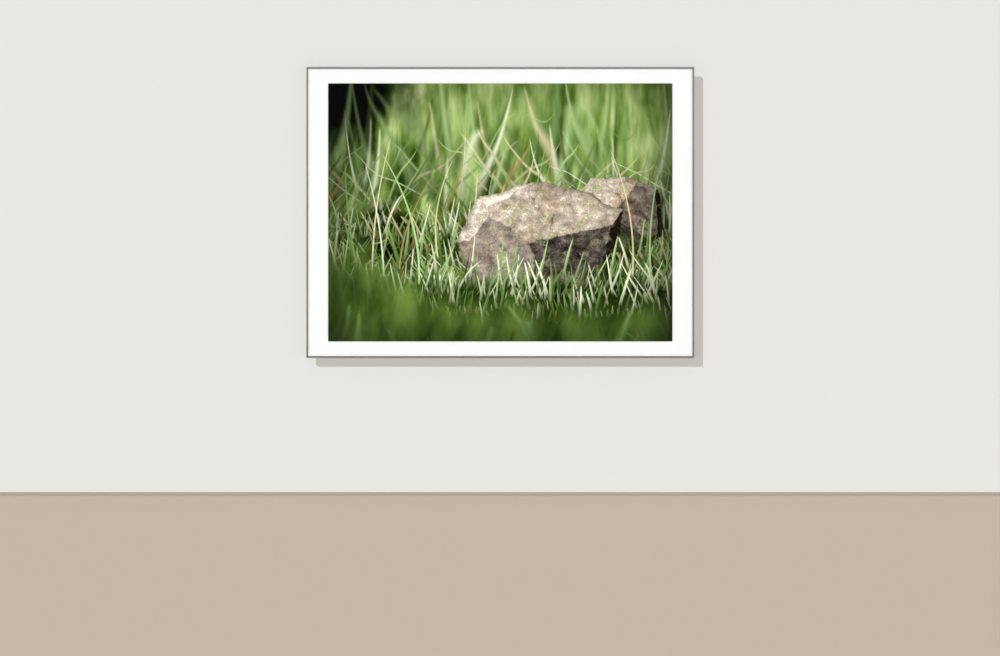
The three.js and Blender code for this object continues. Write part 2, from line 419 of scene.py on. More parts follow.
def aluminiumMaterial():
    look, bench = aluminiumLook, MaterialBench("anodisedAluminium")
    cloud = bench.noise(2.0, 14.0, 4.0, 0.55)
    lines = bench.noise(7.0, (5.0, 2400.0, 2400.0), 3.0, 0.6)  # drawn lines along the rail
    pores = bench.noise(11.0, 3200.0, 2.0, 0.6)
    body = bench.shaded(look["colour"], cloud.sway(0.14, lines.sway(0.3, pores.sway(0.16, 1.0))))
    along, depth, inset = bench.split(bench.take("TexCoord", "Object"))
    back = depth - section["depth"] * mm
    toFront = (depth * depth + inset * inset).root()
    toBack = (back * back + inset * inset).root()
    nearest = toFront.atMost(toBack) / (look["wearWidth"] * mm)
    rubs = bench.noise(19.0, (60.0, 400.0, 400.0), 6.0, 0.7).fade(0.5, 0.66)
    worn = nearest.fade(1.0, 0.25) * rubs
    colour = bench.blend(worn, body, look["worn"])
    rough = worn.scaled(-0.12, cloud.sway(0.12, lines.sway(0.24, look["roughness"])))
    normal = bench.bump(lines, 0.02, 0.6, bench.bump(pores, 0.01, 0.4))
    return bench.painted(colour, rough, normal, metallic=1.0)


def railOutline():
    s = section
    side, lip, webDepth, inner, deep = s["sideWall"], s["lip"], s["webDepth"], s["inner"], s["depth"]
    floor, lipFront, far = webDepth + s["web"], deep - s["web"], inner - s["web"]
    slotStart, slotEnd = side + s["slotLip"], far - s["slotLip"]
    outside, inside = s["round"], s["insideRound"]
    corners = [
        (0, 0, s["outerRound"]), (s["face"], 0, s["faceRound"]), (s["face"], lip, outside),
        (side, lip, inside), (side, webDepth, inside), (inner, webDepth, outside),
        (inner, deep, outside), (slotEnd, deep, outside), (slotEnd, lipFront, outside),
        (far, lipFront, inside), (far, floor, inside), (side, floor, inside), (side, lipFront, inside),
        (slotStart, lipFront, outside), (slotStart, deep, outside), (0, deep, s["faceRound"])]
    return roundedOutline([corner[:2] for corner in corners], [corner[2] for corner in corners], 5)


def railSolid(length):
    # each end is cut back at 45 degrees, with its edges trimmed
    outline = railOutline()
    trimmed = insetOutline(outline, section["mitreEdge"])
    loops = []
    for end in (-1, 1):
        pair = []
        for loop, back in ((trimmed, 0), (outline, section["mitreEdge"])):
            reach = length / 2 - section["gap"] / 2 - back
            pair.append([(end * (reach - inset), depth, -inset) for inset, depth in loop])
        loops.extend(pair if end < 0 else reversed(pair))
    return sweptSolid(loops)


print("rails")
aluminium = aluminiumMaterial()
for sideName, place in sidePlaces.items():
    node = "rail_" + sideName
    rail = railSolid(overall["width"] if sideName in ("top", "bottom") else overall["height"])
    addPiece(node + "_drawn", rail, aluminium, node, place)


# The design on the print: a meadow with boulders, painted by nodes

design = {
    "scale": 10.0,  # it works in tenths of a metre
    "reach": (0.4505, 0.3393),  # half the printed area, in metres
    "paper": ((246, 245, 241), (250, 249, 246)),
    "dark": (16, 24, 8),
    "deep": (44, 62, 20),
    "mid": (89, 116, 51),
    "fresh": (130, 161, 95),
    "lime": (174, 198, 138),
    "pale": (216, 221, 192),
    "straw": (202, 194, 154),
    "ochre": (156, 136, 86),
    "farGrass": [
        (0.0, (26, 40, 12)), (0.22, (64, 86, 33)), (0.45, (109, 134, 68)),
        (0.7, (152, 170, 108)), (0.87, (180, 192, 134)), (1.0, (200, 208, 158))],
    "hollow": (8, 10, 5),
    "soil": ((26, 36, 10), (92, 112, 50)),
    "foot": ((16, 22, 8), (40, 52, 20)),
    "leaves": ((50, 70, 30), (112, 138, 68)),
}
boulderLook = {
    "sun": (-0.5, 0.68, 0.54),
    "stone": [
        (0.0, (36, 34, 30)), (0.22, (78, 72, 66)), (0.45, (122, 112, 104)),
        (0.7, (164, 152, 138)), (0.86, (190, 180, 166)), (1.0, (222, 214, 200))],
    "warm": (232, 200, 160),
    "lichen": ((150, 152, 112), (206, 206, 168)),
    "moss": ((20, 24, 10), (74, 86, 34)),
    "rim": (40, 40, 26),
    "steepPlanes": 7,  # they make the outline
    "flatPlanes": 4,  # they make the face
}
turfSoftness = 0.022
stalkSoftness = 0.02

# Rows of tall blades
bladeLabels = ["pitch", "width", "lean", "bend", "root", "height", "soft", "seed", "fill",
               "low", "high", "dryColour", "dryShare"]
backRows = [
    (0.46, 0.3, 0.22, 0.2, 0.3, 4.2, 0.2, 11.3, 0.9, "deep", "fresh", "lime", 0.25),
    (0.38, 0.22, -0.3, 0.2, 0.2, 3.9, 0.15, 27.1, 0.9, "dark", "lime", "straw", 0.2),
    (0.33, 0.17, 0.12, 0.2, 0.0, 3.6, 0.11, 41.7, 0.85, "deep", "fresh", "pale", 0.25),
    (0.5, 0.15, 1.15, 0.3, 0.0, 3.3, 0.1, 19.4, 0.6, "deep", "lime", "straw", 0.3),
    (0.45, 0.16, -0.85, 0.25, 0.0, 3.1, 0.09, 63.2, 0.7, "mid", "lime", "straw", 0.4),
    (0.34, 0.12, 0.45, 0.3, -0.2, 2.9, 0.07, 5.9, 0.8, "dark", "fresh", "ochre", 0.3),
    (0.6, 0.1, -1.5, 0.4, -0.1, 2.4, 0.05, 88.6, 0.55, "mid", "lime", "pale", 0.4),
    (0.36, 0.11, -0.2, 0.35, -0.2, 3.0, 0.05, 95.3, 0.7, "mid", "lime", "pale", 0.45),
    (0.3, 0.09, 0.3, 0.3, -0.3, 2.6, 0.035, 15.8, 0.8, "deep", "lime", "straw", 0.4),
    (0.7, 0.07, 1.1, 0.5, -0.4, 2.2, 0.03, 31.5, 0.6, "fresh", "lime", "straw", 0.5),
]
edgeRows = [
    (0.16, 0.07, 0.3, 0.3, -0.75, 1.5, 0.03, 37.4, 0.85, "deep", "lime", "pale", 0.35),
    (0.18, 0.06, -0.4, 0.3, -0.9, 1.5, 0.025, 52.9, 0.85, "mid", "lime", "straw", 0.35),
]
middleRows = [
    (0.2, 0.08, 0.15, 0.2, -1.4, 1.3, 0.03, 71.0, 0.95, "deep", "lime", "straw", 0.3),
    (0.16, 0.08, -0.25, 0.2, -1.5, 1.2, 0.03, 77.7, 0.95, "deep", "fresh", "pale", 0.3),
]
frontRows = [
    (0.15, 0.075, 0.2, 0.3, -2.0, 1.4, 0.02, 2.2, 0.9, "deep", "lime", "pale", 0.2),
    (0.16, 0.075, -0.35, 0.3, -2.1, 1.2, 0.02, 33.9, 0.9, "deep", "fresh", "pale", 0.35),
    (0.17, 0.075, 0.5, 0.3, -2.2, 1.3, 0.02, 47.4, 0.9, "deep", "lime", "pale", 0.4),
    (0.18, 0.075, -0.15, 0.3, -2.35, 1.2, 0.02, 58.1, 0.9, "deep", "fresh", "pale", 0.3),
    (0.19, 0.075, 0.1, 0.3, -2.6, 1.2, 0.02, 83.6, 0.9, "deep", "lime", "pale", 0.25),
]
nearRows = [
    (0.55, 0.34, 0.3, 0.3, -3.9, 2.1, 0.2, 7.3, 0.8, "deep", "mid", "fresh", 0.3),
    (0.7, 0.24, -0.5, 0.3, -3.9, 1.9, 0.14, 43.9, 0.7, "dark", "fresh", "fresh", 0.3),
]
# Turf; the first number tells which of three slow noises it drifts with
turfLabels = ["pitch", "width", "lean", "height", "seed", "fill", "low", "high", "dryColour", "dryShare"]
groundTurf = [
    (1, 0.12, 0.1, 0.5, 0.8, 3.13, 0.95, "deep", "fresh", "ochre", 0.2),
    (2, 0.14, 0.09, -0.6, 0.9, 8.41, 0.95, "mid", "lime", "straw", 0.25),
    (0, 0.13, 0.08, 0.1, 1.0, 12.97, 0.9, "mid", "lime", "pale", 0.3),
    (1, 0.15, 0.07, -0.25, 1.1, 17.29, 0.85, "fresh", "lime", "pale", 0.4),
    (2, 0.17, 0.07, 0.8, 0.9, 23.83, 0.8, "deep", "fresh", "straw", 0.5),
    (0, 0.22, 0.06, -0.9, 1.0, 29.61, 0.8, "mid", "lime", "pale", 0.6),
]
frontTurf = [
    (1, 0.13, 0.1, 0.3, 0.9, 61.3, 0.95, "deep", "fresh", "ochre", 0.2),
    (2, 0.14, 0.085, -0.4, 0.9, 67.7, 0.95, "mid", "lime", "straw", 0.3),
    (0, 0.16, 0.07, 0.1, 1.0, 73.9, 0.9, "mid", "lime", "pale", 0.35),
]
stalkLabels = ["footX", "footZ", "rise", "run", "curl", "width", "tint"]
stalks = [
    (-3.3, -1.6, 3.6, 0.5, 0.5, 0.05, "straw"),
    (-3.0, -1.7, 3.0, -0.5, -0.4, 0.045, "pale"),
    (-2.6, -1.5, 2.5, 0.9, 0.8, 0.05, "ochre"),
    (-3.7, -1.4, 2.8, -0.3, 0.3, 0.06, "fresh"),
    (-1.6, -1.2, 2.6, 0.4, 0.9, 0.045, "straw"),
    (3.4, -1.7, 3.4, -0.6, -0.9, 0.05, "straw"),
    (3.9, -1.9, 3.0, 0.2, 0.5, 0.06, "lime"),
    (-2.1, -1.9, 3.5, -1.0, -1.2, 0.06, "lime"),
]
# Boulders; the first number seeds the facets
boulderLabels = ["centreX", "centreZ", "radiusX", "radiusZ", "soft"]
boulders = {
    "boulderBehind": (5, 2.95, -0.1, 1.2, 1.0, 0.03),
    "boulderFront": (14, 1.0, -0.85, 1.95, 1.75, 0.012),
}


def newGroup(name, labels):
    # a group's bench, and its inputs by name
    bench = NodeBench(bpy.data.node_groups.new(name, "ShaderNodeTree"))
    labels = ["x", "z", *labels]
    for label, way in [*((label, "INPUT") for label in labels), ("mask", "OUTPUT"), ("colour", "OUTPUT")]:
        kind = "Color" if label in ("low", "high", "dryColour", "tint", "colour") else "Float"
        bench.tree.interface.new_socket(label, in_out=way, socket_type="NodeSocket" + kind)
    source = bench.tree.nodes.new("NodeGroupInput")
    return bench, SimpleNamespace(**{label: Signal(bench, source.outputs[label]) for label in labels})


def closedGroup(bench, mask, colour):
    sink = bench.tree.nodes.new("NodeGroupOutput")
    bench.feed(sink.inputs["mask"], mask)
    bench.feed(sink.inputs["colour"], colour)
    return bench.tree


def dice(bench, value):
    # four random numbers for each whole number
    made = bench.node("TexWhiteNoise", {"W": value}, noise_dimensions="1D")
    colour, extra = Signal(bench, made.outputs["Color"]), Signal(bench, made.outputs["Value"])
    return [*bench.split(colour, "Color"), extra]


def bladeShape(bench, i, place, along, numbers, soft):
    # the mask and colour of a tapered blade in its own cell
    r, g, b, extra = numbers
    offset = g.sway(0.2, (b - 0.5) * along * abs(along) * 0.58)
    side = (place - offset) * i.pitch
    left = (1.0 - along).atLeast(0.0)
    half = i.width * extra.scaled(0.4, 0.25) * left ** 0.6
    edge = (half - abs(side)) / soft
    ends = along.fade(0.0, 0.22) * left.fade(0.0, 0.1)
    mask = edge.fade(-0.5, 0.7) * ends * (extra < i.fill)
    body = bench.blend(b < i.dryShare, bench.blend(g, i.low, i.high), i.dryColour)
    rib = side / half.atLeast(0.001)
    light = rib.scaled(-0.12, along.scaled(0.8, 0.34)) * r.scaled(0.5, 0.75)
    return mask, bench.shaded(body, light)


def bladeGroup():
    # one row of tall blades that stand side by side
    bench, i = newGroup("blades", bladeLabels)
    up = i.z - i.root
    slow = {"W": i.x + i.seed * 7.0, "Scale": 0.55, "Detail": 1.0}
    slow = bench.split(bench.take("TexNoise", "Color", slow, noise_dimensions="1D"), "Color")
    lean = slow[0].sway(0.9, i.lean)
    curl = (slow[1] - 0.5) * i.bend
    slope = (curl * up).scaled(up, lean * up)
    cells = (i.x - slope) / i.pitch + i.seed
    numbers = dice(bench, i.seed.scaled(13.7, cells.floor()))
    own = i.height * numbers[0].scaled(0.7, 0.3)
    start = (numbers[1] - 0.5) * (i.height * 0.4)
    along = (up - start) / own
    return closedGroup(bench, *bladeShape(bench, i, cells.fract() - 0.5, along, numbers, i.soft))


def turfGroup():
    # short blades in staggered rows all over the ground
    bench, i = newGroup("turf", ["drift", *turfLabels])
    rows = i.z / i.height + i.drift.scaled(2.5, i.seed)
    row, up = rows.floor(), rows.fract()
    lean = i.drift.sway(1.6, i.lean)
    cells = row.scaled(0.37, (i.x - lean * up * i.height) / i.pitch)
    numbers = dice(bench, row.scaled(71.3, i.seed.scaled(13.7, cells.floor())))
    along = (up - numbers[1] * 0.4) / numbers[0].scaled(0.35, 0.25)
    return closedGroup(bench, *bladeShape(bench, i, cells.fract() - 0.5, along, numbers, turfSoftness))


def stalkGroup():
    # one long bent stalk
    bench, i = newGroup("stalk", stalkLabels)
    along = (i.z - i.footZ) / i.rise
    side = i.x - i.footX - along * (along - 1.0).scaled(i.curl, i.run)
    slope = along.scaled(2.0, -1.0).scaled(i.curl, i.run) / i.rise
    side = side / slope.scaled(slope, 1.0).root()
    left = (1.0 - along).atLeast(0.0)
    half = i.width * 0.5 * left ** 0.4
    edge = (half - abs(side)) / stalkSoftness
    ends = along.fade(0.0, 0.04) * left.fade(0.0, 0.06)
    return closedGroup(bench, edge.fade(-0.5, 0.7) * ends, i.tint)


def boulderGroup(name, seed):
    # a rock with flat facets: the lowest of many tilted planes
    look, rng = boulderLook, random.Random(seed)
    bench, i = newGroup(name, boulderLabels)
    bends = bench.split(bench.noise(seed, 11.0, 4.0, 0.55, "Color"), "Color")
    dx = bends[0].sway(0.32, (i.x - i.centreX) / i.radiusX)
    dz = bends[1].sway(0.32, (i.z - i.centreZ) / i.radiusZ)
    height, shade = None, None
    for k in range(look["steepPlanes"] + look["flatPlanes"]):
        steep = k < look["steepPlanes"]
        angle = 2 * math.pi * (k + rng.uniform(-0.3, 0.3)) / look["steepPlanes" if steep else "flatPlanes"]
        tilt = rng.uniform(1.9, 3.2) if steep else rng.uniform(0.25, 0.75)
        reach = tilt * rng.uniform(0.88, 1.05) if steep else rng.uniform(0.62, 0.8)
        facing = Vector((tilt * math.cos(angle), tilt * math.sin(angle), 1.0))
        lit = max(0.0, facing.normalized().dot(Vector(look["sun"])))
        plane = dz.scaled(-facing.y, dx.scaled(-facing.x, reach))
        if k == 0:
            height, shade = plane, lit
            continue
        lower = (height - plane).fade(-0.012, 0.012)
        shade = lower.scaled(lit - shade, shade)
        height = height.atMost(plane)
    fine = bench.noise(seed, 45.0, 7.0, 0.66)
    grain = bench.noise(seed, 220.0, 3.0, 0.7)
    beds = bench.noise(seed, (13.0, 13.0, 65.0), 4.0, 0.6, turn=0.35)
    light = grain.sway(0.6, beds.sway(0.45, fine.sway(1.15, shade)))
    crack = fine.sway(0.32, dx.scaled(0.9, dz * 0.45))
    light = light * abs(crack - 0.28).fade(0.0, 0.014, 0.5)
    stone = bench.stops(light, look["stone"])
    warm = bench.noise(seed, 9.0, 3.0, 0.5).fade(0.48, 0.7) * 0.4
    stone = bench.blend(warm, stone, bench.blend(1.0, stone, look["warm"], "MULTIPLY"))
    patch = bench.noise(seed, 24.0, 6.0, 0.68)
    lichen = bench.blend(grain.fade(0.4, 0.6), *look["lichen"])
    lichen = bench.shaded(lichen, shade.scaled(0.75, 0.3))
    stone = bench.blend(patch.fade(0.56, 0.6) * 0.7, stone, lichen)
    foot = patch.sway(0.8, dz).fade(-0.25, -0.85)
    stone = bench.blend(foot * 0.8, stone, bench.blend(fine, *look["moss"]))
    stone = bench.blend(height.fade(0.16, 0.0) * 0.45, stone, look["rim"])
    return closedGroup(bench, (height / i.soft).fade(0.0, 2.5), stone)


class MeadowPainter:
    # lays painted layers; each takes x through the layer below, which keeps the shader small
    def __init__(self, bench, x, z, drifts):
        self.bench, self.x, self.z, self.drifts, self.nextX = bench, x, z, drifts, x
        self.blades, self.turf, self.stalk = bladeGroup(), turfGroup(), stalkGroup()

    def lay(self, group, under, labels, row, **others):
        # a word in the row is a colour of the design
        sockets = {label: design.get(value, value) for label, value in zip(labels, row)}
        sockets.update(x=self.nextX, z=self.z, **others)
        made = self.bench.node("Group", sockets, node_tree=group)
        mask = Signal(self.bench, made.outputs["mask"])
        self.nextX = mask.scaled(1e-6, self.x)
        return self.bench.blend(mask, under, Signal(self.bench, made.outputs["colour"]))

    def rows(self, under, table):
        for row in table:
            under = self.lay(self.blades, under, bladeLabels, row)
        return under

    def ground(self, under, table):
        for drift, *row in table:
            under = self.lay(self.turf, under, turfLabels, row, drift=self.drifts[drift])
        return under

    def boulder(self, under, name):
        seed, *row = boulders[name]
        return self.lay(boulderGroup(name, seed), under, boulderLabels, row)


def meadowColour(bench, x, z):
    drifts = bench.split(bench.noise(1.0, 5.0, 1.0, 0.5, "Color"), "Color")
    painter = MeadowPainter(bench, x, z, drifts)

    # far grass, quite out of focus
    streak = bench.noise(4.0, (17.0, 1.0, 4.5), 3.0, 0.55, turn=0.3)
    streak = streak.atLeast(bench.noise(6.0, (15.0, 1.0, 4.0), 3.0, 0.55, turn=-0.45))
    tone = streak.scaled(0.62, bench.noise(9.0, 4.2, 2.0, 0.5) * 0.38)
    colour = bench.stops(tone.fade(0.4, 0.68, kind="LINEAR"), design["farGrass"])

    # a dark hollow in the upper left corner
    toLeft, toTop = x + 4.6, 3.5 - z
    corner = (toLeft * toLeft + toTop * toTop * 1.2).root()
    hollow = bench.noise(51.0, (16.0, 1.0, 7.0), 3.0, 0.6).sway(2.6, corner).fade(1.3, 2.9)
    colour = bench.blend(hollow, design["hollow"], colour)
    colour = painter.rows(colour, backRows)

    # the ground in focus
    level = drifts[2].sway(1.4, 0.1) - z
    sunny = bench.noise(21.0, 5.5, 2.0, 0.5).fade(0.36, 0.62)
    ground = painter.ground(bench.blend(sunny, *design["soil"]), groundTurf)
    ground = bench.shaded(ground, sunny.scaled(0.55, 0.55))
    colour = bench.blend(level.fade(-0.2, 0.3), colour, ground)
    colour = painter.rows(colour, edgeRows)

    # two boulders, with turf closing in front of their feet
    colour = painter.boulder(colour, "boulderBehind")
    colour = painter.rows(colour, middleRows)
    colour = painter.boulder(colour, "boulderFront")
    line = z + drifts[1].sway(0.8, 1.9)
    colour = bench.blend(line.fade(0.3, -0.1), colour, bench.blend(sunny, *design["foot"]))
    colour = bench.blend(line.fade(0.15, -0.25), colour, painter.ground(colour, frontTurf))
    colour = painter.rows(colour, frontRows)
    for row in stalks:
        colour = painter.lay(painter.stalk, colour, stalkLabels, row)

    # a soft green veil of near leaves along the foot, higher at the left
    veil = drifts[0].sway(1.5, x.scaled(0.42, z + 3.1))
    veil = veil.atMost(drifts[1].sway(1.6, z + 2.75)).fade(0.75, -0.35, 0.0, 0.97)
    haze = bench.noise(30.0, (12.0, 1.0, 6.5), 3.0, 0.5).fade(0.24, 0.76)
    colour = bench.blend(veil, colour, bench.blend(haze, *design["leaves"]))
    colour = painter.rows(colour, nearRows)

    # deeper shadows, and light that falls off towards the edges
    colour = bench.take("Gamma", 0, {"Color": colour, "Gamma": 1.1})
    colour = bench.take("BrightContrast", 0, {"Color": colour, "Bright": 0.018, "Contrast": 0.05})
    light = hollow.fade(0.0, 1.0, 0.6, 1.55) * x.fade(4.9, 2.9, 0.25) * x.fade(-4.8, -2.9, 0.3)
    light = light * z.fade(-3.6, -1.9, 0.36) * z.fade(3.8, 2.0, 0.5)
    return bench.shaded(colour, light)


def printMaterial():
    bench = MaterialBench("printedPaper")
    x, y, z = bench.split(bench.take("TexCoord", "Object"))
    picture = meadowColour(bench, x * design["scale"], z * design["scale"])
    onFront = bench.split(bench.take("NewGeometry", "Normal"))[1] < -0.5
    inked = (abs(x) < design["reach"][0]) * (abs(z) < design["reach"][1]) * onFront
    tooth = bench.noise(3.0, 900.0, 3.0, 0.6)
    colour = bench.blend(inked, bench.blend(tooth, *design["paper"]), picture)
    rough = tooth.sway(0.12, inked.fade(0.0, 1.0, 0.75, 0.52))
    return bench.painted(colour, rough, bench.bump(tooth, 0.02, 0.5), gloss=0.02)


# Glass and boards in the groove

boards = {
    "width": 995,
    "height": 745,
    "corner": 0.8,
    "glazing": (1.8, 3.8, 0.3),  # front, back and rounding of the rims
    "mat": (4.0, 5.6, 0.06),
    "print": (5.8, 6.3, 0.05),
    "mount": (6.5, 8.0, 0.08),
    "backing": (8.2, 11.2, 0.2),
    "window": (887.4, 665),  # at the mat's back
    "windowCorner": 0.25,
}
glassLook = {"clean": (253, 254, 253), "dusty": (250, 251, 250), "roughness": (0.02, 0.09)}
matLook = {"face": (252, 252, 251), "core": (253, 253, 252), "tooth": 0.03}
greyBoardLook = {
    "shades": [(0.25, (176, 171, 160)), (0.5, (208, 204, 194)), (0.8, (226, 223, 214))],
    "fleck": (142, 134, 120),
}
hardboardLook = {
    "shades": [(0.2, (88, 66, 46)), (0.5, (140, 110, 80)), (0.85, (174, 144, 110))],
    "fleck": (62, 46, 32),
    "rubbed": (174, 144, 110),
}


def glassMaterial():
    # thin clear glass: it mirrors a little of what faces it and lets the rest through
    bench = MaterialBench("clearGlass")
    mirrored = (bench.take("LayerWeight", "Facing", {"Blend": 0.5}) ** 5.0).scaled(0.96, 0.04)
    smear = bench.noise(13.0, (3.0, 3.0, 9.0), 5.0, 0.62).fade(0.45, 0.75, *glassLook["roughness"])
    dust = bench.noise(17.0, 700.0, 2.0, 0.5).fade(0.62, 0.75)
    tint = bench.blend(dust, glassLook["clean"], glassLook["dusty"])
    gloss = bench.take("BsdfGlossy", 0, {"Color": (255, 255, 255), "Roughness": smear})
    clear = bench.take("BsdfTransparent", 0, {"Color": tint})
    return bench.finished(bench.take("MixShader", 0, {0: mirrored, 1: clear, 2: gloss}))


def matMaterial():
    bench = MaterialBench("whiteMatboard")
    facing = abs(bench.split(bench.take("NewGeometry", "Normal"))[1])
    cut = facing.fade(0.95, 0.85)  # the bevel and the edges
    tooth = bench.noise(5.0, 1100.0, 4.0, 0.65)
    cloud = bench.noise(8.0, 9.0, 3.0, 0.5)
    fibres = bench.noise(14.0, (260.0, 5200.0, 260.0), 3.0, 0.6)
    face = bench.shaded(matLook["face"], cloud.sway(0.02, tooth.sway(0.05, 1.0)))
    core = bench.shaded(matLook["core"], fibres.sway(0.08, 1.0))
    normal = bench.bump(tooth + fibres * cut, matLook["tooth"], 0.6)
    return bench.painted(bench.blend(cut, face, core), tooth.sway(0.12, 0.9), normal, gloss=0.3)


def greyBoardMaterial():
    bench = MaterialBench("greyBoard")
    pulp = bench.noise(6.0, 420.0, 6.0, 0.7)
    flecks = bench.noise(23.0, 1500.0, 2.0, 0.5).fade(0.68, 0.74)
    layers = bench.noise(31.0, (60.0, 4200.0, 60.0), 3.0, 0.6)
    colour = bench.stops(layers.sway(0.3, pulp), greyBoardLook["shades"])
    colour = bench.blend(flecks, colour, greyBoardLook["fleck"])
    return bench.painted(colour, pulp.sway(0.15, 0.88), bench.bump(pulp, 0.03, 0.6), gloss=0.25)


def hardboardMaterial():
    bench = MaterialBench("hardboard")
    mottle = bench.noise(4.0, 34.0, 6.0, 0.6)
    fibre = bench.noise(9.0, (520.0, 520.0, 900.0), 5.0, 0.72)
    crossFibre = bench.noise(15.0, (1500.0, 700.0, 420.0), 4.0, 0.7, turn=0.7)
    specks = bench.noise(27.0, (1300.0, 1300.0, 700.0), 2.0, 0.5, turn=-0.4)
    rubbed = bench.noise(33.0, (7.0, 7.0, 5.0), 4.0, 0.6).fade(0.52, 0.68)
    tone = crossFibre.sway(0.55, fibre.sway(0.75, mottle.sway(0.22, 0.5)))
    colour = bench.stops(tone, hardboardLook["shades"])
    colour = bench.blend(specks.fade(0.66, 0.72, 0.0, 0.7), colour, hardboardLook["fleck"])
    colour = bench.blend(rubbed * 0.18, colour, hardboardLook["rubbed"])
    rough = rubbed.scaled(-0.12, fibre.sway(0.2, 0.62))
    normal = bench.bump(specks.sway(0.4, fibre), 0.06, 0.7)
    return bench.painted(colour, rough, normal, gloss=0.35)


def boardOutline():
    w, h, c = boards["width"] / 2, boards["height"] / 2, boards["corner"]
    lower = [(-w + c, -h), (w - c, -h), (w, -h + c)]
    upper = [(w, h - c), (w - c, h), (-w + c, h)]
    return lower + upper + [(-w, h - c), (-w, -h + c)]


def windowHole():
    # the bevel opens towards the front by the mat's thickness
    front, back, rounding = boards["mat"]
    w, h = boards["window"][0] / 2, boards["window"][1] / 2
    deep = back - front
    rim = [(front, deep + rounding), (front + rounding, deep - 0.5 * rounding),
           (front + deep / 2, deep / 2), (back - rounding, rounding), (back, 0)]
    return rectangle(-w, w, -h, h, boards["windowCorner"], 3), rim


def addBoard(name, key, material, node, holes=()):
    solid = drawnSolid(boardOutline(), roundedRim(*boards[key]), holes)
    return addPiece(name, solid, material, node)


print("glass, mat, print and boards")
addBoard("glass_pane", "glazing", glassMaterial(), "glazing")
mat = addBoard("mat_with_window", "mat", matMaterial(), "mat_board", [windowHole()])
sheet = addBoard("printed_sheet", "print", printMaterial(), "print_sheet")
mount = addBoard("mount_sheet", "mount", greyBoardMaterial(), "mount_board")
addBoard("hardboard_back", "backing", hardboardMaterial(), "backing_board")


def layOutSheet(piece):
    # the printed face fills the map, and the rest of the paper lies in a strip along its foot
    mesh, strip, margin = piece.data, 0.04, 0.004
    places = mesh.uv_layers.new(name="OFBake").data
    for face in mesh.polygons:
        printed = face.normal.y < -0.9
        for corner in face.loop_indices:
            point = mesh.vertices[mesh.loops[corner].vertex_index].co
            u = margin + (1 - 2 * margin) * (point.x / (boards["width"] * mm) + 0.5)
            v = point.z / (boards["height"] * mm) + 0.5
            v = strip + (1 - margin - strip) * v if printed else margin + (strip - 3 * margin) * v
            places[corner].uv = (u, v)


layOutSheet(sheet)


# Spring clips, bowed along the side between the hardboard and the web

clip = {
    "places": {"top": (-330, 0, 330), "bottom": (-330, 0, 330), "left": (-190, 190), "right": (-190, 190)},
    "length": 78,
    "width": 14,
    "strip": 0.6,
    "stripEdge": 0.16,
    "inset": 2.6,
    "front": 11.4,
    "back": 13.8,
    "endRound": 3.2,
    "endSteps": 7,
    "middleSteps": 16,
}
# colour, slow stains, roughness, and the scale of the scratches along each axis
steelLooks = {
    "springSteel": ((158, 160, 163), (150, 146, 132), 0.3, (40.0, 900.0, 1600.0)),
    "zincSteel": ((186, 188, 190), (196, 190, 170), 0.34, (500.0, 500.0, 90.0)),
}
pitColour = (84, 80, 74)


def steelMaterial(name):
    colour, stain, roughness, grain = steelLooks[name]
    bench = MaterialBench(name)
    scratches = bench.noise(3.0, grain, 5.0, 0.65)
    cloud = bench.noise(12.0, 120.0, 4.0, 0.6)
    stained = bench.noise(21.0, 45.0, 3.0, 0.6).fade(0.42, 0.68)
    pits = bench.noise(29.0, 1100.0, 2.0, 0.5).fade(0.68, 0.76)
    body = bench.blend(stained * 0.5, colour, stain)
    body = bench.shaded(body, cloud.sway(0.22, scratches.sway(0.3, 1.0)))
    body = bench.blend(pits * 0.5, body, pitColour)
    rough = pits.scaled(0.2, scratches.sway(0.24, cloud.sway(0.2, roughness)))
    return bench.painted(body, rough, bench.bump(scratches, 0.01, 0.5), metallic=1.0)


def clipStations(half):
    # from one end to the other as parts of half the length; they stand closer where the ends round off
    steps, middle = clip["endSteps"], clip["middleSteps"]
    turns = [math.pi / 2 * i / steps for i in range(steps, -1, -1)]
    ends = [1 - clip["endRound"] / half * (1 - math.sin(turn)) for turn in turns]
    inner = [ends[-1] * (1 - 2 * i / middle) for i in range(1, middle)]
    return ends + inner + [-value for value in reversed(ends)]


def clipSolid():
    rise = clip["back"] - clip["front"] - clip["strip"]
    half = clip["length"] / 2
    radius = (half * half + rise * rise) / (2 * rise)
    reachAngle = math.asin(half / radius)
    edge, thick, rounding = clip["stripEdge"], clip["strip"], clip["endRound"]
    loops = []
    for station in clipStations(half):
        angle = reachAngle * station
        past = max(0.0, abs(station) * half - (half - rounding))
        narrow = rounding - math.sqrt(max(0.0, rounding ** 2 - past ** 2))
        w = clip["width"] / 2 - narrow
        shape = [(-w + edge, 0), (w - edge, 0), (w, edge), (w, thick - edge),
                 (w - edge, thick), (-w + edge, thick), (-w, thick - edge), (-w, edge)]
        loop = []
        for side, out in shape:
            reach = radius + out
            depth = clip["front"] + rise - radius + reach * math.cos(angle)
            loop.append((reach * math.sin(angle), depth, side))
        loops.append(loop)
    return sweptSolid(loops)


print("spring clips")
springSteel = steelMaterial("springSteel")
for sideName, places in clip["places"].items():
    for number, along in enumerate(places, 1):
        place = sidePlaces[sideName] @ shift(along, 0, -clip["inset"] - clip["width"] / 2)
        node = f"clip_{sideName}_{number}"
        addPiece(node + "_bowed", clipSolid(), springSteel, node, place)


# Screws stand along y with the head's seat at 0 and the head to the wall

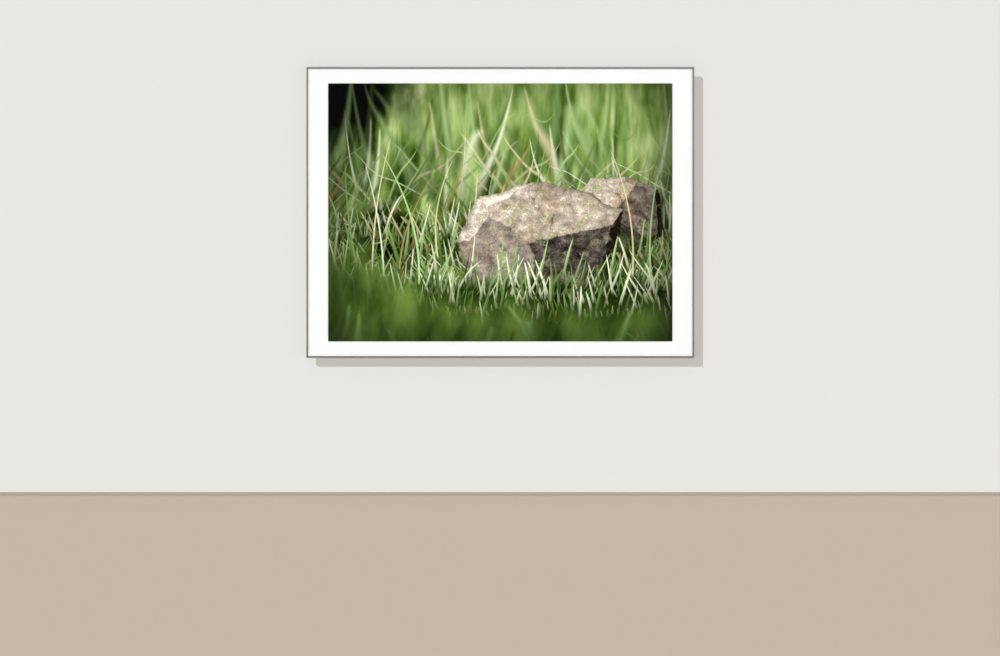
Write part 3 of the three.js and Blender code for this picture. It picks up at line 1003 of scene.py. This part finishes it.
screw = {
    "radius": 2,
    "thread": 0.22,
    "pitch": 0.8,
    "point": 0.35,  # how much narrower the point is
    "pointLength": 0.6,
    "neck": 0.5,  # plain length under the head
    "overlap": 0.1,  # into the head
    "head": (0.12, 2.65, 0.5, 2.6, 1.85, 1.2),  # foot, radius, side, top, flat and height
    "slotWidth": 0.8,
    "slotReach": 4,  # past the head's edge
    "slotDepths": (0.84, 2.2),  # its floor, and clear of the head
    "slotCorner": 0.02,
    "steps": 32,
    "rowsPerTurn": 8,
}


def threadedSolid(length):
    # a shank whose radius winds in and out, with a plain neck under the head and a plain point
    s = screw
    rows = int(length / s["pitch"] * s["rowsPerTurn"])
    loops = []
    for k in range(rows + 1):
        y = -length + (length + s["overlap"]) * k / rows
        faded = min(1.0, (y + length) / s["pointLength"], max(0.0, (-s["neck"] - y) / s["neck"]))
        loop = []
        for i in range(s["steps"]):
            turn = i / s["steps"]
            wave = abs(2 * ((y / s["pitch"] - turn) % 1.0) - 1)
            cut = s["thread"] * (1 - wave) * max(0.0, faded) if k else s["point"]
            a, r = 2 * math.pi * turn, s["radius"] - cut
            loop.append((r * math.cos(a), y, r * math.sin(a)))
        loops.append(loop)
    return sweptSolid(loops)


def screwSolid(length):
    s = screw
    half, reach = s["slotWidth"] / 2, s["slotReach"]
    slot = rectangle(-reach, reach, -half, half, s["slotCorner"], 3)
    slot = drawnSolid(slot, [(depth, 0) for depth in s["slotDepths"]])
    head = domedSolid(s["head"], s["steps"], 6)
    return joinedSolid(head, ("UNION", threadedSolid(length)), ("DIFFERENCE", slot))


def addScrew(node, solid, place, x, z, turn):
    # x and z are the screw's spot in its side's or corner's place
    there = place @ shift(x, plate["seat"], z) @ Matrix.Rotation(turn, 4, "Y")
    addPiece(node + "_slotted", solid, zincSteel, node, there)


# Corner plates in the channel, a drilled one at the back of a plain one

plate = {
    "inset": 2.1,
    "width": 8.1,
    "leg": 44,
    "rear": (18.7, 20.5),
    "front": (15.5, 16.5),
    "screwPlace": 27,
    "hole": 2.3,
    "corners": [0.6, 1.2, 1.2, 0.8, 1.2, 1.2],  # the radii, from the outer corner on
    "rim": 0.2,
    "holeRim": 0.15,
    "seat": 20.8,  # depth of the screws' heads
    "screwGap": 0.3,  # between a screw's point and the front plate
}
plateSpots = [(-plate["screwPlace"], -plate["width"] / 2), (-plate["width"] / 2, -plate["screwPlace"])]
cornerPlaces = {
    "top_right": (0, 1, 1),
    "bottom_right": (math.pi / 2, 1, -1),
    "bottom_left": (math.pi, -1, -1),
    "top_left": (-math.pi / 2, -1, 1),
}


def drilledHole(x, z, depths):
    return circleOutline(plate["hole"], 32, x, z), roundedRim(*depths, plate["holeRim"])


def plateSolid(depths, spots):
    leg, w = plate["leg"], plate["width"]
    corners = [(0, 0), (-leg, 0), (-leg, -w), (-w, -w), (-w, -leg), (0, -leg)]
    outline = roundedOutline(corners, plate["corners"], 5)
    holes = [drilledHole(x, z, depths) for x, z in spots]
    return drawnSolid(outline, roundedRim(*depths, plate["rim"]), holes)


print("corner plates and screws")
zincSteel = steelMaterial("zincSteel")
rearPlate, frontPlate = plateSolid(plate["rear"], plateSpots), plateSolid(plate["front"], [])
cornerScrew = screwSolid(plate["seat"] - plate["front"][1] - plate["screwGap"])
cornerScrewTurns = random.Random(7)
for name, (quarter, right, up) in cornerPlaces.items():
    place = turnedPlace(quarter, right * (halfWidth - plate["inset"]), up * (halfHeight - plate["inset"]))
    for side, solid in (("rear", rearPlate), ("front", frontPlate)):
        node = f"plate_{side}_{name}"
        addPiece("corner_" + node, solid, zincSteel, node, place)
    for number, (x, z) in enumerate(plateSpots, 1):
        turn = cornerScrewTurns.uniform(0, math.pi)
        addScrew(f"screw_{name}_{number}", cornerScrew, place, x, z, turn)


# Hangers: a foot in the top channel, a neck through its slot and a tab with an eye

hanger = {
    "place": 260,
    "foot": 46,
    "footCorner": 1.4,
    "neck": (3.41, 8.6),
    "neckDepths": (19.2, 23.5),
    "tabTop": 3.4,
    "tabWidth": 22,
    "tab": (22.2, 23.6),
    "tabEnd": 28,
    "tabCorner": 6,
    "tabRim": 0.22,
    "eye": (15.5, 22.5),
    "eyeWidth": 10,
    "eyeCorner": 2.5,
    "squareCorner": 0.5,  # at the tab's upper end and the eye's upper edge
    "screwPlace": 16.5,
    "screwTurns": {"left": 0.2, "right": 0.8},
}


def hangerSolid():
    h = hanger
    top, bottom = -plate["inset"], -(plate["inset"] + plate["width"])
    half, wide, eyeHalf = h["foot"] / 2, h["tabWidth"] / 2, h["eyeWidth"] / 2
    lower, inner, square = h["tabCorner"], h["eyeCorner"], h["squareCorner"]
    outline = rectangle(-half, half, bottom, top, h["footCorner"], 5)
    hole = drilledHole(h["screwPlace"], (top + bottom) / 2, plate["rear"])
    foot = drawnSolid(outline, roundedRim(*plate["rear"], plate["rim"]), [hole])
    neck = rectangle(-wide, wide, -h["neck"][1], -h["neck"][0], square, 3)
    neck = drawnSolid(neck, [(depth, 0) for depth in h["neckDepths"]])
    tab = rectangle(-wide, wide, -h["tabEnd"], -h["tabTop"], [lower, lower, square, square], 8)
    eye = rectangle(-eyeHalf, eyeHalf, -h["eye"][1], -h["eye"][0], [inner, inner, square, square], 6)
    rim = roundedRim(*h["tab"], h["tabRim"])
    return joinedSolid(foot, ("UNION", neck), ("UNION", drawnSolid(tab, rim, [(eye, rim)])))


print("hangers and bumpers")
hangerShape = hangerSolid()
hangerScrew = screwSolid(plate["seat"] - plate["front"][0])
for name, right in (("left", -1), ("right", 1)):
    place = sidePlaces["top"] @ shift(right * hanger["place"], 0, 0)
    addPiece(f"hanger_{name}_pressed", hangerShape, zincSteel, "hanger_" + name, place)
    middle = -plate["inset"] - plate["width"] / 2
    turn = hanger["screwTurns"][name]
    addScrew("hanger_screw_" + name, hangerScrew, place, hanger["screwPlace"], middle, turn)


bumper = {
    "place": 410,
    "inset": 6,
    "front": 22.1,
    "shape": (0.15, 5.2, 0.76, 5.2, 4.1, 1.9),  # foot, radius, side, top, flat and height
}
rubberLook = {"colour": (74, 72, 69), "dust": (150, 146, 138)}


def rubberMaterial():
    bench = MaterialBench("softRubber")
    skin = bench.noise(5.0, 1800.0, 3.0, 0.6)
    dust = bench.noise(18.0, 500.0, 5.0, 0.7).fade(0.52, 0.72)
    body = bench.shaded(rubberLook["colour"], skin.sway(0.3, 1.0))
    colour = bench.blend(dust * 0.35, body, rubberLook["dust"])
    rough = dust.scaled(0.12, skin.sway(0.12, 0.74))
    return bench.painted(colour, rough, bench.bump(skin, 0.04, 0.6), gloss=0.4)


rubber = rubberMaterial()
for name, right in (("left", -1), ("right", 1)):
    for level, up in (("top", 1), ("bottom", -1)):
        place = turnedPlace(0, right * bumper["place"], up * (halfHeight - bumper["inset"]))
        place = place @ shift(0, bumper["front"], 0)
        node = f"bumper_{level}_{name}"
        addPiece(node + "_domed", domedSolid(bumper["shape"], 48, 8), rubber, node, place)


# The room, in metres: a wall that shows only from the front, its foot strip (a darker band of painted
# shade where wall meets floor) and the floor

room = {
    "reach": 30,  # half the width of the wall and the floor
    "wallTop": 14,
    "wallGap": 0.0001,  # between the bumpers and the wall
    "floor": -0.7322,
    "stripTop": -0.7217,
    "stripOut": 0.0006,
    "wallColour": (196, 196, 193),
    "footShadeColour": (147, 140, 130),
    "floorColour": (190, 175, 157),
}


def plasterMaterial(name, colour, grain, oneSided=False):
    bench = MaterialBench(name)
    coat = bench.noise(2.0, grain, 4.0, 0.6)
    colour = bench.shaded(colour, coat.sway(0.015, 1.0))
    surface = bench.surface(colour, 0.9, bench.bump(coat, 0.2, 0.15), gloss=0.15)
    if oneSided:
        behind = bench.take("NewGeometry", "Backfacing")
        surface = bench.take("MixShader", 0, {0: behind, 1: surface, 2: bench.take("BsdfTransparent")})
    return bench.finished(surface)


def roomPiece(name, low, high, material):
    # a sheet from its lower or nearer edge to its higher or further one, each given as (y, z)
    reach = room["reach"]
    mesh = bpy.data.meshes.new(name)
    mesh.from_pydata([(-reach, *low), (reach, *low), (reach, *high), (-reach, *high)], [], [(0, 1, 2, 3)])
    mesh.materials.append(material)
    piece = newObject(name, mesh)
    return piece


print("room")
floorLevel = room["floor"]
wallY = overall["wallPlane"] * mm + room["wallGap"]
stripY = wallY - room["stripOut"]
wall = roomPiece("wall", (wallY, floorLevel), (wallY, room["wallTop"]),
                 plasterMaterial("wallPaint", room["wallColour"], 160.0, oneSided=True))
# the foot strip's darker colour is painted shade along the junction of wall and floor
strip = roomPiece("wallFoot", (stripY, floorLevel), (stripY, room["stripTop"]),
                  plasterMaterial("stripPaint", room["footShadeColour"], 60.0, oneSided=True))
floor = roomPiece("floor", (-room["reach"], floorLevel), (room["reach"], floorLevel),
                  plasterMaterial("floorPaint", room["floorColour"], 40.0))
wall.visible_diffuse = False
wall.visible_glossy = False
floor.visible_glossy = False


# Light: soft suns for the print, and two of its own for the wall, one with the crisp shadow

lamps = {
    # travel direction, angle across in degrees, strength, colour, what it lights
    "softLeft": ((0.54, 0.83, -0.1), 48, 0.78, "cool", "print"),
    "softRight": ((-0.54, 0.83, -0.1), 48, 0.78, "cool", "print"),
    "softTop": ((0.0, 0.9, -0.44), 40, 0.6, "cool", "print"),
    "paperFront": ((0.0, 1.0, -0.03), 3, 1.4, "blueish", "paper"),
    "wallFront": ((0.0, 1.0, -0.02), 2, 2.02, "pale", "wall"),
    "wallWindow": ((26.4, 20.1, -25.5), 1.2, 3.07, "pale", "wall"),
    "floorTop": ((0.0, 0.3, -1.0), 20, 2.27, "white", "floor"),
    "behindLeft": ((0.6, -0.78, -0.12), 70, 1.3, "white", "back"),
    "behindRight": ((-0.5, -0.85, -0.15), 70, 1.0, "white", "back"),
}
lampColours = {
    "cool": (0.945, 0.95, 1.0),
    "blueish": (0.842, 0.845, 1.0),
    "pale": (0.965, 0.98, 1.0),
    "white": (1.0, 1.0, 1.0),
}
shownPieces = [item for item in bpy.data.objects if item.type == "MESH" and "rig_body" in item]
members = {
    "print": shownPieces,
    "paper": [mat, sheet],
    "wall": [wall, strip],
    "floor": [floor],
    "back": shownPieces,
    "wallShadow": [mat, sheet, mount],  # thin sheets, for a shadow cut square as in the photograph
}
linked = {}
for key, items in members.items():
    linked[key] = bpy.data.collections.new("lamps_" + key)
    for item in items:
        linked[key].objects.link(item)
castBy = {"floorTop": "floor", "behindLeft": "back", "behindRight": "back", "wallWindow": "wallShadow"}
for name, (travel, angle, strength, colour, target) in lamps.items():
    lamp = bpy.data.lights.new(name, "SUN")
    lamp.energy, lamp.angle, lamp.color = strength, math.radians(angle), lampColours[colour]
    holder = newObject(name, lamp)
    holder.rotation_euler = Vector(travel).to_track_quat("-Z", "Y").to_euler()
    holder.light_linking.receiver_collection = linked[target]
    if name in castBy:
        holder.light_linking.blocker_collection = linked[castBy[name]]
    if target == "paper":
        holder.visible_glossy = False  # no glare on the ink

world = bpy.data.worlds.new("room")
bpy.context.scene.world = world
world.use_nodes = True
world.node_tree.nodes.clear()
sky = NodeBench(world.node_tree)
seen = sky.take("Background", 0, {"Color": (233, 232, 227), "Strength": 1.0})
towardsWall = sky.split(sky.take("TexCoord", "Generated"))[1]
beside = towardsWall.fade(-0.97, -0.8, 0.03, 0.18)
beside = towardsWall.fade(-0.7, -0.3, beside, 0.55)
beside = towardsWall.fade(0.25, 0.7, beside, 0.3)
around = sky.take("Background", 0, {"Color": (1.0, 0.992, 0.98, 1.0), "Strength": beside})
onlySeen = sky.take("LightPath", "Is Camera Ray")
sky.node("OutputWorld", {"Surface": sky.take("MixShader", 0, {0: onlySeen, 1: around, 2: seen})})


# The camera looks straight at the wall from the eye height of the photograph

eye = {
    "lens": 135,
    "sensor": 36,
    "across": 2.577,  # the width that it sees at the frame's front, in metres
    "x": -0.0008,
    "z": -0.2979,
}
cameraData = bpy.data.cameras.new("camera")
cameraData.lens = eye["lens"]
cameraData.sensor_width = eye["sensor"]
cameraData.clip_end = 200
camera = newObject("camera", cameraData)
away = eye["across"] * eye["lens"] / eye["sensor"]
camera.location = (eye["x"], overall["frontPlane"] * mm - away, eye["z"])
camera.rotation_euler = (math.pi / 2, 0, 0)
bpy.context.scene.camera = camera
bpy.context.scene.view_settings.view_transform = "Standard"

print("done")
